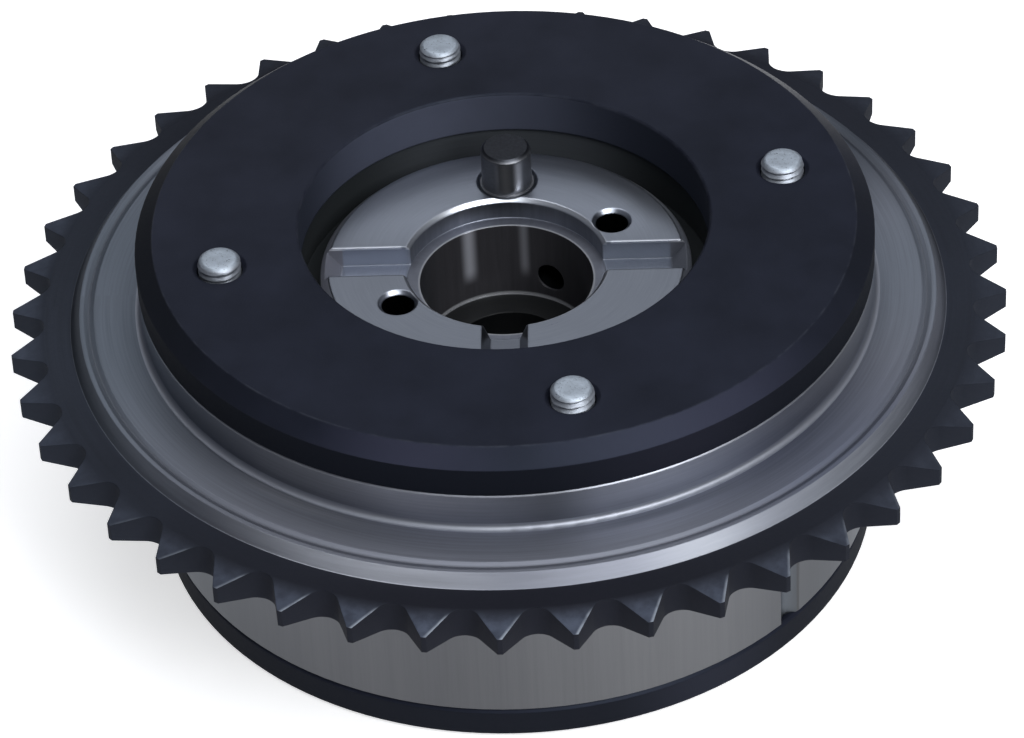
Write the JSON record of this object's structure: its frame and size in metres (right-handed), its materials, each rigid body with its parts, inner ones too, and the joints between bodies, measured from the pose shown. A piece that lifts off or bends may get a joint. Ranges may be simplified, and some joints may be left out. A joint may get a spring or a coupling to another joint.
{
  "type": "cam phaser",
  "caption": "Vane-type camshaft phaser: chain sprocket on a round housing between two cover plates, with a rotor hub that takes the camshaft nose and turns inside it.",
  "frame": {"origin": "on the axis of the rotor, at the front cover's outer face on which the part stands", "axes": "+Z along the axis towards the camshaft, +Y through the dowel pin, +X along a cross slot of the hub"},
  "size_m": [0.116, 0.116, 0.0431],
  "materials": {
    "housing_steel": "turned and ground steel, blackened on the teeth",
    "black_cover": "blackened steel, satin",
    "screw_steel": "bare cut ends",
    "rotor_steel": "fine turned steel",
    "pin_steel": "ground steel",
    "spring_steel": "drawn spring steel",
    "seal_plastic": "moulded bearing plastic"
  },
  "bodies": {
    "housing": {"housing": "housing_steel", "rear_cover": "black_cover", "front_cover": "black_cover", "cover_screws": "screw_steel", "lock_bush": "pin_steel", "lobe_seal_1": "seal_plastic", "lobe_seal_2": "seal_plastic", "lobe_seal_3": "seal_plastic", "lobe_seal_4": "seal_plastic", "lobe_spring_1": "spring_steel", "lobe_spring_2": "spring_steel", "lobe_spring_3": "spring_steel", "lobe_spring_4": "spring_steel"},
    "rotor": {"rotor": "rotor_steel", "dowel_pin": "pin_steel", "lock_seat": "pin_steel", "vane_seal_1": "seal_plastic", "vane_seal_2": "seal_plastic", "vane_seal_3": "seal_plastic", "vane_seal_4": "seal_plastic", "vane_spring_1": "spring_steel", "vane_spring_2": "spring_steel", "vane_spring_3": "spring_steel", "vane_spring_4": "spring_steel"},
    "lock_pin": {"lock_pin": "pin_steel", "lock_spring": "spring_steel"}
  },
  "joints": [
    {"name": "rotor_turn", "type": "hinge", "parent": "housing", "child": "rotor", "pos_m": [0, 0, 0.0202], "axis": [0, 0, 1], "range_deg": [0, 25]},
    {"name": "lock_slide", "type": "slide", "parent": "rotor", "child": "lock_pin", "axis": [0, 0, -1], "range_m": [0, 0.0023], "stiffness_N_per_m": 800, "springref_m": 0.008, "deforming": ["lock_spring"]}
  ]
}
